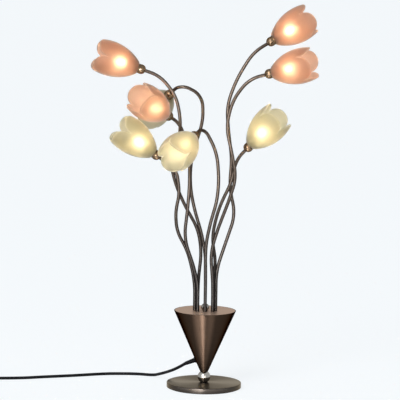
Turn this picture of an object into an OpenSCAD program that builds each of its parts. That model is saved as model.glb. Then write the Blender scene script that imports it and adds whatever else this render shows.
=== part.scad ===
// Tulip table lamp: a round foot, a ball and an upturned cone carry eight bent
// tubes, each with a turned cup, a capsule bulb and a glass tulip shade.
// Millimetres. +Z is up, the origin is on the table under the middle of the foot,
// and the front of the lamp looks along -Y.

/* [Foot] */
// Diameter of the foot disc
foot_d = 135; // [110:1:180]
// Thickness of the foot disc
foot_t = 9; // [8:0.5:16]
// Bevel on the upper edge of the foot disc
foot_bevel = 1.2; // [0.4:0.2:2.5]
// Thickness of the felt pad under the foot
pad_t = 1.5; // [1:0.5:4]
// Distance of the felt pad from the edge of the disc
pad_inset = 4; // [2:1:15]
// Diameter of the ball between foot and cone
ball_d = 23; // [20:0.5:40]
// Diameter of the flats where the ball meets the foot and the cone
ball_flat_d = 12.5; // [10:0.5:16]

/* [Cone] */
// Height of the cone
cone_h = 112; // [100:1:160]
// Diameter of the cone at its open top
cone_top_d = 112; // [104:1:150]
// Diameter of the cone at its tip
cone_tip_d = 14.5; // [14:0.5:24]
// Thickness of the cone's sheet, measured level
cone_wall = 1.4; // [1:0.1:2.5]
// Thickness of the cone's closed tip
cone_floor_t = 3; // [2:0.5:6]
// Thickness of the top plate
plate_t = 2.5; // [1.5:0.1:5]
// Height of the ledge that carries the top plate
ledge_h = 2; // [1.5:0.5:4]
// Width of the ledge that carries the top plate
ledge_w = 3; // [2:0.5:6]

/* [Tie rod] */
// Diameter of the threaded rod that clamps the lamp together
rod_d = 6; // [5:0.5:8]
// Width across flats of the rod's nuts
rod_nut_af = 10; // [9:0.5:14]
// Height of the rod's nuts
rod_nut_h = 5; // [4:0.5:8]
// Diameter of the washer under the foot
washer_d = 15; // [13:0.5:20]
// Thickness of the washer under the foot
washer_t = 1.2; // [1:0.1:2.5]
// Diameter of the ball nut on the top plate
top_ball_d = 14.5; // [12:0.5:24]
// Diameter of the flat under the ball nut
top_ball_flat_d = 9; // [8:0.5:12]

/* [Tubes] */
// Outer diameter of the bent tubes
tube_d = 6; // [5:0.25:7]
// Wall of the bent tubes
tube_wall = 0.8; // [0.5:0.1:1.2]
// Radius of the circle that the tubes stand on
feet_r = 19; // [17:0.5:24]
// Length of each tube below the top plate
tube_tail = 9.5; // [8:0.5:11]
// Width across flats of the nuts that hold the tubes
tube_nut_af = 9; // [8:0.5:10]
// Height of the nuts that hold the tubes
tube_nut_h = 5; // [3:0.5:7]

/* [Shade holders] */
// Outer diameter of the turned cups
cup_d = 17.5; // [16:0.5:22]
// Length of the cups below the glass
cup_len = 13; // [11:0.5:18]
// Diameter of the threaded neck that passes through the glass
neck_d = 13; // [12:0.25:14]
// Length of the threaded neck above the glass seat
neck_len = 8; // [7.5:0.5:10]
// Diameter of the ceramic lampholder
holder_d = 11; // [9.5:0.25:11.5]
// Height of the lampholder above the glass seat
holder_rise = 13.5; // [10:0.5:18]
// Height of the ring that clamps the glass
ring_h = 3.6; // [2.5:0.1:4]

/* [Glass shades] */
// Largest diameter of a shade
shade_d = 63; // [60:0.5:66]
// Length of a shade from its seat to the petal tips
shade_len = 80; // [74:0.5:84]
// Height of the widest part above the seat
belly_h = 55; // [48:0.5:58]
// Width of the flat bottom of the shade around its hole
seat_w = 0.8; // [0.5:0.1:2]
// Radius of the rounded bottom of the shade
bottom_r = 6; // [5:0.25:7]
// Thickness of the glass
glass_t = 3; // [2:0.25:3.5]
// Radius of the round shoulders of the petals
lobe_r = 18.5; // [16:0.25:19]
// Depth of the notch between two petals
notch_depth = 20; // [19.5:0.5:26]
// Width of the notch between the foot of the two shoulders
notch_w = 1; // [0.5:0.25:3]

/* [Bulbs] */
// Diameter of the bulb's capsule
bulb_d = 9.5; // [8:0.25:10.5]
// Height of the bulb's tip above the glass seat
bulb_tip = 48; // [42:0.5:52]
// Length of the flat pinch at the bulb's foot
pinch_len = 7; // [5:0.5:9]
// Distance between the bulb's two pins
bulb_pitch = 4; // [3:0.25:5]

/* [Transformer] */
// Diameter of the toroidal transformer
toroid_d = 64; // [54:1:66]
// Height of the transformer
toroid_h = 27; // [22:0.5:28]
// Diameter of the hole in the transformer
toroid_hole_d = 22; // [18:0.5:28]
// Rounding of the transformer's winding
toroid_edge = 6; // [3:0.5:8]
// Thickness of the rubber pads on both sides of the transformer
rubber_t = 2; // [1:0.5:3]
// Diameter of the dished clamp washers
clamp_d = 48; // [36:1:52]
// Thickness of the clamp washers
clamp_t = 1.5; // [1:0.25:2]

/* [Cord] */
// Diameter of the cord
cord_d = 5.5; // [5:0.25:6.5]
// Height of the cord's way out of the cone
gland_z = 50; // [46:1:60]
// Turn of the cord's way out, from +X
gland_turn = 155; // [145:1:165]
// Diameter of the strain relief at the cone
gland_d = 9; // [8:0.25:11]
// Length of the strain relief outside the cone
gland_len = 24; // [20:1:40]
// Length of the cord switch
switch_len = 58; // [54:1:70]
// Width of the cord switch
switch_w = 24; // [22:0.5:30]
// Height of the cord switch
switch_h = 17; // [16:0.5:22]
// Wall of the cord switch
switch_wall = 1.8; // [1.2:0.1:2.2]
// Length of the rocker
rocker_len = 20; // [16:0.5:24]
// Width of the rocker
rocker_w = 11; // [9:0.5:13]
// Tilt of the rocker to each side
rocker_tilt = 8; // [5:0.5:10]
// Diameter of the rocker's pin
rocker_pin_d = 2.4; // [2:0.2:3]
// Length of the plug's body
plug_len = 36; // [32:1:44]
// Width of the plug's body
plug_w = 35; // [34:0.5:40]
// Thickness of the plug's body
plug_t = 13.7; // [12:0.1:16]
// Diameter of the plug's pins
plug_pin_d = 4; // [3.5:0.1:4.8]
// Length of the plug's pins outside the body
plug_pin_len = 19; // [17:0.5:20]
// Distance between the plug's pins
plug_pitch = 19; // [17:0.5:20]

/* [Clearances] */
// Gap between a hole and the rod or tube in it
hole_gap = 0.15; // [0.1:0.05:0.3]
// Gap around the plate's edge in the cone
plate_gap = 0.3; // [0.2:0.05:0.6]
// Gap between the glass and what holds it
glass_gap = 0.3; // [0.2:0.05:0.4]
// Gap around the rocker
rocker_gap = 0.4; // [0.3:0.05:0.6]

/* [Hidden] */
SHADES = 8;

$fn = 48;
over = 1; // how far a cutting tool reaches past what it cuts

// Colours
BRONZE = [0.42, 0.35, 0.30];
NICKEL = [0.55, 0.50, 0.46];
PLATE = [0.71, 0.63, 0.59];
STEEL = [0.75, 0.75, 0.77];
BLACK = [0.06, 0.06, 0.07];
CERAMIC = [0.93, 0.91, 0.86];
PINK = [0.89, 0.62, 0.52, 0.7];
GREEN = [0.84, 0.80, 0.56, 0.7];

// Heights in the stack of foot, ball, cone and plate
foot_top = pad_t + foot_t;
ball_half = sqrt(pow(ball_d / 2, 2) - pow(ball_flat_d / 2, 2));
cone_z = foot_top + 2 * ball_half;
plate_top = cone_z + cone_h;
plate_z = plate_top - plate_t;
cone_slope = (cone_top_d - cone_tip_d) / 2 / cone_h;
function cone_r(z) = cone_tip_d / 2 + cone_slope * (z - cone_z);

// The counterbore under the foot, and the rod's two ends
well_d = washer_d + 5;
well_h = rod_nut_h + washer_t + 0.5;
washer_z = pad_t + well_h - washer_t;
foot_nut_z = washer_z - rod_nut_h;
rod_hole_d = rod_d + 2 * hole_gap;
top_ball_half = sqrt(pow(top_ball_d / 2, 2) - pow(top_ball_flat_d / 2, 2));
rod_top = plate_top + top_ball_half;

// The transformer hangs on the rod between two nuts, clear of the tubes' ends
stack_gap = 1.5;
tube_end_z = plate_top - plate_t - tube_tail;
upper_nut_z = tube_end_z - stack_gap;
upper_clamp_z = upper_nut_z - clamp_t;
upper_rubber_z = upper_clamp_z - rubber_t;
toroid_z = upper_rubber_z - toroid_h;
lower_rubber_z = toroid_z - rubber_t;
lower_clamp_z = lower_rubber_z - clamp_t;
bracket_t = 1.5;
bracket_z = lower_clamp_z - bracket_t;
lower_nut_z = bracket_z - rod_nut_h;

// The tubes. Each row of STEMS gives the turn of the tube's foot on its circle, the
// height of its first bend and the turn of its shade's petals. The routes give the
// middle of each bend as [x, y, height above the top plate]. The last point is the
// middle of the glass seat, so the last run sets where the shade points.
STEMS = [
  [0, 73, 92],
  [-45, 53, 14],
  [45, 48, 188],
  [135, 53, 53],
  [-135, 48, 65],
  [180, 53, 323],
  [-90, 53, 55],
  [90, 58, 215]
];
ROUTES = [
  [[34, 4, 120], [52, 10, 174], [40, 18, 222], [44, 20, 274], [37, 20, 320],
   [33, 21, 369], [50, 22, 418], [79, 20, 466], [115, 30, 488]],
  [[8, -14, 106], [21, -18, 153], [38, -24, 198], [52, -30, 245], [43, -34, 290],
   [32, -32, 336], [43, -28, 384], [72, -21, 421], [112, -36, 433]],
  [[18, 13, 86], [10, 10, 132], [21, 5, 185], [44, 1, 234], [51, -2, 274],
   [76, -13, 302]],
  [[-8, 13, 104], [-15, 10, 147], [-38, 6, 186], [-57, 0, 228], [-67, -8, 272],
   [-51, -16, 307], [-49, -23, 348], [-58, -22, 389], [-87, -20, 424],
   [-126, -24, 437]],
  [[-22, -15, 83], [-40, -18, 133], [-34, -21, 185], [-31, -21, 235], [-33, -2, 290],
   [-52, 32, 336], [-75, 10, 352]],
  [[-33, -4, 108], [-53, -8, 144], [-56, -12, 180], [-49, -14, 213], [-54, -15, 250],
   [-69, -14, 265], [-96, -18, 285]],
  [[-1, -21, 96], [0, -23, 126], [7, -25, 163], [18, -27, 201], [21, -26, 238],
   [17, -20, 288], [-8, -21, 335], [-27, -54, 318]],
  [[-1, 19, 100], [-9, 21, 139], [-22, 24, 179], [-30, 26, 217], [-31, 28, 258],
   [-22, 31, 299], [-9, 32, 340], [-11, 27, 387], [-51, 8, 408], [-73, 39, 384]]
];
// Share of the shorter neighbouring run that a bend takes up on each side
bend_share = 0.46;
// Turn between two rings of a tube's mesh, and its sides
ring_turn = 9;
tube_sides = 12;

// Shade outline: one long side arc and one small bottom arc, tangent to each other.
// Every inset keeps the arcs' middles, so the glass is equally thick all over.
glass_hole_d = neck_d + 2 * glass_gap;
bottom_x = glass_hole_d / 2 + seat_w;
bulge = shade_d / 2 - bottom_x;
bottom_rise = belly_h - bottom_r;
side_r = (pow(bulge, 2) + pow(bottom_rise, 2) - pow(bottom_r, 2)) / 2 / (bulge - bottom_r);
side_x = shade_d / 2 - side_r;
bottom_sine = bottom_rise / (side_r - bottom_r);
glass_z = glass_gap;

// The ring that clamps the glass stays clear of the rounded bottom inside the shade
inside_r = bottom_r - glass_t;
ring_z = glass_z + glass_t + glass_gap;
ring_reach = sqrt(pow(inside_r, 2) - pow(inside_r - glass_gap, 2));
ring_d = 2 * (bottom_x + ring_reach - glass_gap);

// Lampholder and bulb
holder_z = -cup_len + 4.2;
holder_floor_t = 4;
tube_in_cup = 3.4;
bulb_gap = 0.3;
pin_d = 1;
pinch_t = 4.6;
bulb_z = holder_rise + bulb_gap;

// Strain relief at the cone
gland_slope = atan(cone_slope);
gland_flange_d = gland_d + 3;
gland_flange_t = 2;
gland_inside = 5;
relief_end_d = cord_d + 1.2;

// Switch, laid along Y, and plug, laid along Y with its pins to the front
switch_at = [-412, -31];
switch_round = 4;
switch_split = 9;
switch_entry_z = 7;
switch_relief = 8;
switch_entry_d = cord_d + 2 * hole_gap;
rocker_z = switch_h - 4.5;
plug_at = [-492, 6];
plug_relief = 18;
plug_taper = 14;
plug_round = 3;
plug_root_d = 3;
plug_root_len = 8;
plug_front = plug_at.y - plug_relief - plug_len;
plug_back = plug_front + plug_len;

// Cord routes, [x, y, z] of the cord's middle line
LEAD = [
  [-34.5, 16, 40.4], [-44, 23, 33.5], [-53, 33, 27], [-62, 45, 21], [-72, 59, 15],
  [-82, 74, 9.5], [-91, 88, 5], [-103, 99, 2.8], [-119, 104, 2.8], [-137, 106, 2.8],
  [-156, 105, 2.8], [-175, 103, 2.8], [-193, 98, 2.8], [-211, 91, 2.8],
  [-228, 84, 2.8], [-247, 77, 2.8], [-265, 71, 2.8], [-283, 65, 2.8],
  [-301, 59, 2.8], [-319, 52, 2.8], [-337, 47, 2.8], [-354, 44, 2.8],
  [-371, 42, 2.8], [-385, 40, 2.8], [-397, 35, 3], [-406, 27, 3.8],
  [-411, 16, 5.8], [-412, 6, 7]
];
MIDDLE = [
  [-412, -68, 7], [-412, -76, 5.8], [-415, -86, 3.6], [-422, -95, 2.8],
  [-433, -100, 2.8], [-445, -98, 2.8], [-454, -90, 2.8], [-459, -79, 2.8],
  [-461, -62, 2.8], [-462, -42, 2.8], [-462, -21, 2.8], [-462, 0, 2.8],
  [-462, 20, 2.8], [-462, 40, 2.8], [-462, 60, 2.8], [-462, 80, 2.8]
];
TAIL = [
  [-424.6, 42.6, 8.3], [-436, 42.6, 8.4], [-448, 42.5, 8.5], [-460, 42, 8.5],
  [-472, 39.5, 8.1], [-482, 34, 7.5], [-489, 26, 7], [-492, 16, 6.85], [-492, 6, 6.85]
];
cord_sides = 10;
// The coil winds inwards on the table and outwards again on top
coil_at = [-424.6, 80];
coil_outer_r = 37.4;
coil_inner_r = 25.3;
coil_layers = 2;

// ---------------------------------------------------------------- vectors

function unit(v) = v / norm(v);
function polar(v) = acos(v.z / norm(v));
function around(v) = atan2(v.y, v.x);
function square_to(v, t) = unit(v - (v * t) * t);

// Places its children at point p with their Z axis along v
module along(p, v) {
  translate(p) rotate([0, polar(v), around(v)]) children();
}

// ---------------------------------------------------------------- swept tubes

// Ring frames along a line of points: each frame's x axis is the last one's, made
// square to the new direction, so that the tube doesn't twist
function directions(line) = [
  for (i = [0 : len(line) - 1])
    unit(line[min(i + 1, len(line) - 1)] - line[max(i - 1, 0)])
];
function sides_x(dirs, first) = [
  for (i = 0, x = square_to(first, dirs[0]); i < len(dirs);
       i = i + 1, x = square_to(x, dirs[min(i, len(dirs) - 1)]))
    x
];

// Points of a round skin of the given radius, ring after ring
function skin(line, dirs, xs, r, sides) = [
  for (i = [0 : len(line) - 1], j = [0 : sides - 1])
    let (a = 360 * j / sides)
    line[i] + r * (cos(a) * xs[i] + sin(a) * cross(dirs[i], xs[i]))
];

// Side faces between the rings, seen from outside; start is the first point's number
function skin_faces(rings, sides, start, outward) = [
  for (i = [0 : rings - 2], j = [0 : sides - 1])
    let (
      a = start + i * sides + j,
      b = start + i * sides + (j + 1) % sides,
      face = [a, a + sides, b + sides, b]
    )
    outward ? face : [for (k = [3 : -1 : 0]) face[k]]
];

// A solid round rod along a line of points
module swept_rod(line, d, sides, first, ends) {
  dirs = concat([unit(ends[0])], [for (i = [1 : 1 : len(line) - 2]) directions(line)[i]],
                [unit(ends[1])]);
  xs = sides_x(dirs, first);
  last = (len(line) - 1) * sides;
  polyhedron(
    points = skin(line, dirs, xs, d / 2, sides),
    faces = concat(
      skin_faces(len(line), sides, 0, true),
      [[for (j = [0 : sides - 1]) j]],
      [[for (j = [sides - 1 : -1 : 0]) last + j]]
    ),
    convexity = 10
  );
}

// A hollow tube along a line of points with known directions
module swept_tube(line, dirs, d, bore, sides, first) {
  xs = sides_x(dirs, first);
  n = len(line);
  inner = n * sides;
  last = (n - 1) * sides;
  polyhedron(
    points = concat(skin(line, dirs, xs, d / 2, sides), skin(line, dirs, xs, bore / 2, sides)),
    faces = concat(
      skin_faces(n, sides, 0, true),
      skin_faces(n, sides, inner, false),
      [for (j = [0 : sides - 1]) let (k = (j + 1) % sides) [j, k, inner + k, inner + j]],
      [for (j = [0 : sides - 1]) let (k = (j + 1) % sides)
        [last + j, inner + last + j, inner + last + k, last + k]]
    ),
    convexity = 10
  );
}

// A smooth line through points: each span is halved on a cubic through its neighbours
function halfway(a, b, c, d) = (9 * (b + c) - a - d) / 16;
function smooth_line(p) = [
  for (i = [0 : len(p) - 2], k = [0, 1])
    k == 0 ? p[i] : halfway(p[max(i - 1, 0)], p[i], p[i + 1], p[min(i + 2, len(p) - 1)]),
  p[len(p) - 1]
];

// ---------------------------------------------------------------- bent tubes

// The corners of tube k: foot, first bend, the bends of its route, and the glass seat
function stem_foot(k) =
  [feet_r * cos(STEMS[k][0]), feet_r * sin(STEMS[k][0]), plate_top];
function stem_corners(k) = concat(
  [stem_foot(k) - [0, 0, plate_t + tube_tail]],
  [stem_foot(k) + [0, 0, STEMS[k][1]]],
  [for (p = ROUTES[k]) p + [0, 0, plate_top]]
);
function stem_seat(k) = let (c = stem_corners(k)) c[len(c) - 1];
function stem_way(k) = let (c = stem_corners(k)) unit(c[len(c) - 1] - c[len(c) - 2]);

// One bend at corner b: points and directions of its arc, from the runs before and after
function bend(a, b, c) = let (
  u = unit(b - a),
  w = unit(c - b),
  turn = acos(u * w),
  reach = bend_share * min(norm(b - a), norm(c - b)),
  r = reach / tan(turn / 2),
  m = square_to(w, u),
  middle = b - u * reach + m * r,
  n = max(1, ceil(turn / ring_turn))
) [for (i = [0 : n]) let (t = turn * i / n)
    [middle - r * cos(t) * m + r * sin(t) * u, cos(t) * u + sin(t) * m]];

// All rings of tube k. It ends inside its cup.
function stem_rings(k) = let (
  c = stem_corners(k),
  n = len(c),
  tip = c[n - 1] - (cup_len - tube_in_cup) * stem_way(k)
) concat(
  [[c[0], [0, 0, 1]]],
  [for (i = [1 : n - 2]) each bend(c[i - 1], c[i], c[i + 1])],
  [[tip, stem_way(k)]]
);

module stem(k) {
  rings = stem_rings(k);
  color(BRONZE)
    swept_tube([for (q = rings) q[0]], [for (q = rings) q[1]], tube_d,
               tube_d - 2 * tube_wall, tube_sides, [1, 0, 0]);
}

// Places its children at the glass seat of tube k, with +Z into the shade
module at_seat(k) {
  along(stem_seat(k), stem_way(k)) children();
}

// ---------------------------------------------------------------- foot and cone

module foot_pad() {
  color(BLACK) cylinder(d = foot_d - 2 * pad_inset, h = pad_t);
}

module foot_disc() {
  color(BRONZE) difference() {
    translate([0, 0, pad_t]) union() {
      cylinder(d = foot_d, h = foot_t - foot_bevel);
      translate([0, 0, foot_t - foot_bevel])
        cylinder(d1 = foot_d, d2 = foot_d - 2 * foot_bevel, h = foot_bevel);
    }
    cylinder(d = rod_hole_d, h = foot_top + over);
    translate([0, 0, pad_t - over]) cylinder(d = well_d, h = well_h + over);
  }
}

module foot_ball() {
  color(NICKEL) translate([0, 0, foot_top + ball_half]) difference() {
    rotate_extrude() intersection() {
      circle(d = ball_d);
      translate([0, -ball_half]) square([ball_d, 2 * ball_half]);
    }
    cylinder(d = rod_hole_d, h = ball_d + over, center = true);
  }
}

module cone_shell() {
  floor_z = cone_z + cone_floor_t;
  color(BRONZE) difference() {
    rotate_extrude() difference() {
      polygon([
        [0, cone_z],
        [cone_r(cone_z), cone_z],
        [cone_r(plate_top), plate_top],
        [0, plate_top]
      ]);
      polygon([
        [0, floor_z],
        [cone_r(floor_z) - cone_wall, floor_z],
        [cone_r(plate_z - ledge_h - ledge_w) - cone_wall, plate_z - ledge_h - ledge_w],
        [cone_r(plate_z) - cone_wall - ledge_w, plate_z - ledge_h],
        [cone_r(plate_z) - cone_wall - ledge_w, plate_z],
        [cone_r(plate_z) - cone_wall, plate_z],
        [cone_r(plate_top + over) - cone_wall, plate_top + over],
        [0, plate_top + over]
      ]);
    }
    translate([0, 0, cone_z - over]) cylinder(d = rod_hole_d, h = cone_floor_t + 2 * over);
    gland_place() cylinder(d = gland_d + 2 * hole_gap, h = 4 * gland_inside, center = true);
  }
}

module top_plate() {
  color(PLATE) difference() {
    translate([0, 0, plate_z])
      cylinder(
        r1 = cone_r(plate_z) - cone_wall - plate_gap,
        r2 = cone_r(plate_top) - cone_wall - plate_gap,
        h = plate_t
      );
    translate([0, 0, plate_z - over]) {
      cylinder(d = rod_hole_d, h = plate_t + 2 * over);
      for (s = STEMS)
        rotate(s[0]) translate([feet_r, 0, 0])
          cylinder(d = tube_d + 2 * hole_gap, h = plate_t + 2 * over);
    }
  }
}

// ---------------------------------------------------------------- tie rod

module nut(z, af, h, bore) {
  translate([0, 0, z]) difference() {
    cylinder(r = af / 2 / cos(30), h = h, $fn = 6);
    translate([0, 0, -over]) cylinder(d = bore, h = h + 2 * over);
  }
}

module tie_rod() {
  color(STEEL) translate([0, 0, pad_t + 0.4]) cylinder(d = rod_d, h = rod_top - pad_t - 0.4);
}

module foot_nut() {
  color(STEEL) nut(foot_nut_z, rod_nut_af, rod_nut_h, rod_hole_d);
}

module foot_washer() {
  color(STEEL) translate([0, 0, washer_z]) difference() {
    cylinder(d = washer_d, h = washer_t);
    translate([0, 0, -over]) cylinder(d = rod_hole_d, h = washer_t + 2 * over);
  }
}

module top_ball_nut() {
  color(NICKEL) translate([0, 0, plate_top + top_ball_half]) difference() {
    rotate_extrude() intersection() {
      circle(d = top_ball_d);
      translate([0, -top_ball_half]) square(top_ball_d);
    }
    translate([0, 0, -top_ball_d]) cylinder(d = rod_hole_d, h = top_ball_d + hole_gap);
  }
}

module tube_nuts() {
  color(STEEL) for (s = STEMS)
    rotate(s[0]) translate([feet_r, 0, 0])
      nut(plate_z - tube_nut_h, tube_nut_af, tube_nut_h, tube_d + 2 * hole_gap);
}

// ---------------------------------------------------------------- transformer

module toroid_transformer() {
  w = (toroid_d - toroid_hole_d) / 2;
  color([0.75, 0.62, 0.25]) translate([0, 0, toroid_z]) rotate_extrude()
    translate([toroid_hole_d / 2, 0]) rounded_rectangle(w, toroid_h, toroid_edge);
}

module rounded_rectangle(w, h, r) {
  translate([r, 0]) square([w - 2 * r, h]);
  translate([0, r]) square([w, h - 2 * r]);
  for (x = [r, w - r], y = [r, h - r]) translate([x, y]) circle(r = r);
}

module disc_with_hole(z, d, t) {
  translate([0, 0, z]) difference() {
    cylinder(d = d, h = t);
    translate([0, 0, -over]) cylinder(d = rod_hole_d, h = t + 2 * over);
  }
}

module rubber_pads() {
  color(BLACK) {
    disc_with_hole(lower_rubber_z, clamp_d + 4, rubber_t);
    disc_with_hole(upper_rubber_z, clamp_d + 4, rubber_t);
  }
}

module clamp_washers() {
  color(STEEL) {
    disc_with_hole(lower_clamp_z, clamp_d, clamp_t);
    disc_with_hole(upper_clamp_z, clamp_d, clamp_t);
  }
}

module clamp_nuts() {
  color(STEEL) {
    nut(lower_nut_z, rod_nut_af, rod_nut_h, rod_hole_d);
    nut(upper_nut_z, rod_nut_af, rod_nut_h, rod_hole_d);
  }
}

block_w = 16;
block_t = 9;
block_h = 14;
tab_x = rod_nut_af / 2 / cos(30) + 1;
tab_h = block_h + rod_nut_h + 1;

module terminal_bracket() {
  color(STEEL) difference() {
    union() {
      translate([0, 0, bracket_z]) cylinder(r = tab_x + bracket_t, h = bracket_t);
      translate([tab_x, -block_w / 2 + 2, bracket_z - tab_h])
        cube([bracket_t, block_w - 4, tab_h + bracket_t]);
    }
    translate([0, 0, bracket_z - over]) cylinder(d = rod_hole_d, h = bracket_t + 2 * over);
  }
}

module terminal_block() {
  color(CERAMIC) translate([tab_x + bracket_t, -block_w / 2, bracket_z - tab_h])
    difference() {
      cube([block_t, block_w, block_h]);
      for (y = [block_w / 4, 3 * block_w / 4])
        translate([block_t / 2, y, -over]) cylinder(d = 3, h = block_h + 2 * over);
    }
}

// ---------------------------------------------------------------- shade holders

// Half outline of a cup: a rounded bottom, a straight rim and the threaded neck
module cup_outline() {
  r = cup_d / 2;
  round_z = -5.5;
  difference() {
    union() {
      intersection() {
        translate([0, round_z]) circle(r = r);
        translate([0, -cup_len]) square([r, cup_len + round_z]);
      }
      translate([0, round_z]) square([r, -round_z]);
      translate([0, -over]) square([neck_d / 2, neck_len + over]);
    }
    translate([0, holder_z - 0.2]) square([holder_d / 2 + hole_gap, cup_len + neck_len]);
    translate([0, -cup_len - over]) square([tube_d / 2 + hole_gap, cup_len]);
  }
}

module cup(k) {
  color(BRONZE) at_seat(k) rotate_extrude() cup_outline();
}

module lampholder() {
  translate([0, 0, holder_z]) difference() {
    cylinder(d = holder_d, h = holder_rise - holder_z);
    for (x = [-bulb_pitch / 2, bulb_pitch / 2])
      translate([x, 0, holder_floor_t])
        cylinder(d = pin_d + 0.3, h = holder_rise - holder_z);
  }
}

module lampholders() {
  color(CERAMIC) for (k = [0 : SHADES - 1]) at_seat(k) lampholder();
}

module glass_rings() {
  color(NICKEL) for (k = [0 : SHADES - 1]) at_seat(k) translate([0, 0, ring_z])
    difference() {
      cylinder(d = ring_d, h = ring_h);
      translate([0, 0, -over]) cylinder(d = neck_d + 2 * hole_gap, h = ring_h + 2 * over);
    }
}

module bulb(k) {
  r = bulb_d / 2;
  dome_z = bulb_tip - r;
  color([1, 0.97, 0.88]) at_seat(k) {
    rotate_extrude() {
      translate([0, bulb_z + pinch_len]) square([r, dome_z - bulb_z - pinch_len]);
      intersection() {
        translate([0, dome_z]) circle(r = r);
        translate([0, dome_z]) square(r + over);
      }
    }
    translate([-bulb_d / 2 + 0.3, -pinch_t / 2, bulb_z])
      cube([bulb_d - 0.6, pinch_t, pinch_len + over]);
    for (x = [-bulb_pitch / 2, bulb_pitch / 2])
      translate([x, 0, bulb_z - 8]) cylinder(d = pin_d, h = 8 + over);
  }
}

// ---------------------------------------------------------------- glass shades

// Half outline of the shade, solid, moved in by inset
module shade_outline(inset) {
  r = bottom_r - inset;
  tangent_z = bottom_r - r * bottom_sine;
  intersection() {
    translate([side_x, belly_h]) circle(r = side_r - inset);
    translate([0, tangent_z]) square([shade_d, shade_len - tangent_z]);
  }
  intersection() {
    translate([bottom_x, bottom_r]) circle(r = r);
    translate([bottom_x, 0]) square([bottom_r, tangent_z]);
  }
  translate([0, inset]) square([bottom_x, tangent_z - inset]);
}

// What is cut away between two petals: the space above two round shoulders, and a
// narrow V below them
module notch_outline() {
  shoulder_z = shade_len - lobe_r;
  shoulder_x = lobe_r + notch_w / 2;
  difference() {
    translate([-shoulder_x, shoulder_z]) square([2 * shoulder_x, lobe_r + over]);
    for (x = [-shoulder_x, shoulder_x]) translate([x, shoulder_z]) circle(r = lobe_r);
  }
  polygon([
    [0, shade_len - notch_depth],
    [notch_w / 2, shoulder_z],
    [notch_w / 2, shoulder_z + notch_w / 4],
    [-notch_w / 2, shoulder_z + notch_w / 4],
    [-notch_w / 2, shoulder_z]
  ]);
}

module tulip_glass() {
  difference() {
    rotate_extrude() difference() {
      shade_outline(0);
      shade_outline(glass_t);
      square([glass_hole_d / 2, 2 * glass_t]);
    }
    for (a = [45, 135])
      rotate([90, 0, a]) linear_extrude(height = 2 * shade_d, center = true) notch_outline();
  }
}

module shade(k) {
  color(k == 2 || k >= 5 ? GREEN : PINK) at_seat(k)
    translate([0, 0, glass_z]) rotate(STEMS[k][2]) tulip_glass();
}

// ---------------------------------------------------------------- cord

// Places its children on the cone's outside at the cord's way out, with +Z outwards
module gland_place() {
  rotate(gland_turn) translate([cone_r(gland_z), 0, gland_z])
    rotate([0, 90 + gland_slope, 0]) children();
}

module strain_relief() {
  color(BLACK) gland_place() difference() {
    union() {
      translate([0, 0, -gland_inside]) cylinder(d = gland_d, h = gland_inside + over);
      translate([0, 0, 0.3]) cylinder(d = gland_flange_d, h = gland_flange_t);
      translate([0, 0, gland_flange_t])
        cylinder(d1 = gland_d, d2 = relief_end_d, h = gland_len - gland_flange_t);
    }
    translate([0, 0, -gland_inside - over])
      cylinder(d = cord_d + 2 * hole_gap, h = gland_inside + gland_flange_t);
  }
}

module cord_run(route, ends) {
  color(BLACK) swept_rod(smooth_line(route), cord_d, cord_sides, [0, 0, 1], ends);
}

module cord_lead() {
  cord_run(LEAD, [LEAD[1] - LEAD[0], [0, -1, 0]]);
}

module cord_middle() {
  cord_run(MIDDLE, [[0, -1, 0], [0, 1, 0]]);
}

module cord_tail() {
  cord_run(TAIL, [[-1, 0, 0], [0, -1, 0]]);
}

module cord_coil() {
  color(BLACK) translate([coil_at.x, coil_at.y, 0]) rotate_extrude()
    translate([coil_inner_r - cord_d / 2, 0])
      rounded_rectangle(coil_outer_r - coil_inner_r + cord_d, coil_layers * cord_d, cord_d / 2);
}

// ---------------------------------------------------------------- switch

module rounded_plate(w, l, r) {
  translate([-w / 2, -l / 2]) rounded_rectangle(w, l, r);
}

module switch_place() {
  translate([switch_at.x, switch_at.y, 0]) children();
}

// The two round entries of the switch, along Y
module switch_entries(d, reach) {
  for (s = [-1, 1])
    translate([0, s * (switch_len / 2 - 3), switch_entry_z]) rotate([-s * 90, 0, 0])
      cylinder(d = d, h = reach + 3);
}

module switch_lower() {
  color(BLACK) switch_place() difference() {
    union() {
      linear_extrude(height = switch_split)
        rounded_plate(switch_w, switch_len, switch_round);
      intersection() {
        switch_entries(cord_d + 3, switch_relief);
        translate([-switch_w / 2, -switch_len, 0])
          cube([switch_w, 2 * switch_len, switch_split]);
      }
    }
    translate([0, 0, switch_wall]) linear_extrude(height = switch_h)
      rounded_plate(switch_w - 2 * switch_wall, switch_len - 2 * switch_wall,
                    switch_round - switch_wall);
    switch_entries(switch_entry_d, switch_relief + over);
  }
}

module switch_upper() {
  color(BLACK) switch_place() difference() {
    union() {
      translate([0, 0, switch_split]) linear_extrude(height = switch_h - switch_split)
        rounded_plate(switch_w, switch_len, switch_round);
      intersection() {
        switch_entries(cord_d + 3, switch_relief);
        translate([-switch_w / 2, -switch_len, switch_split])
          cube([switch_w, 2 * switch_len, switch_split]);
      }
    }
    translate([0, 0, -over]) linear_extrude(height = switch_h - switch_wall + over)
      rounded_plate(switch_w - 2 * switch_wall, switch_len - 2 * switch_wall,
                    switch_round - switch_wall);
    translate([-rocker_w / 2 - rocker_gap, -rocker_len / 2 - rocker_gap, switch_split])
      cube([rocker_w + 2 * rocker_gap, rocker_len + 2 * rocker_gap, switch_h]);
    switch_entries(switch_entry_d, switch_relief + over);
  }
}

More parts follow.
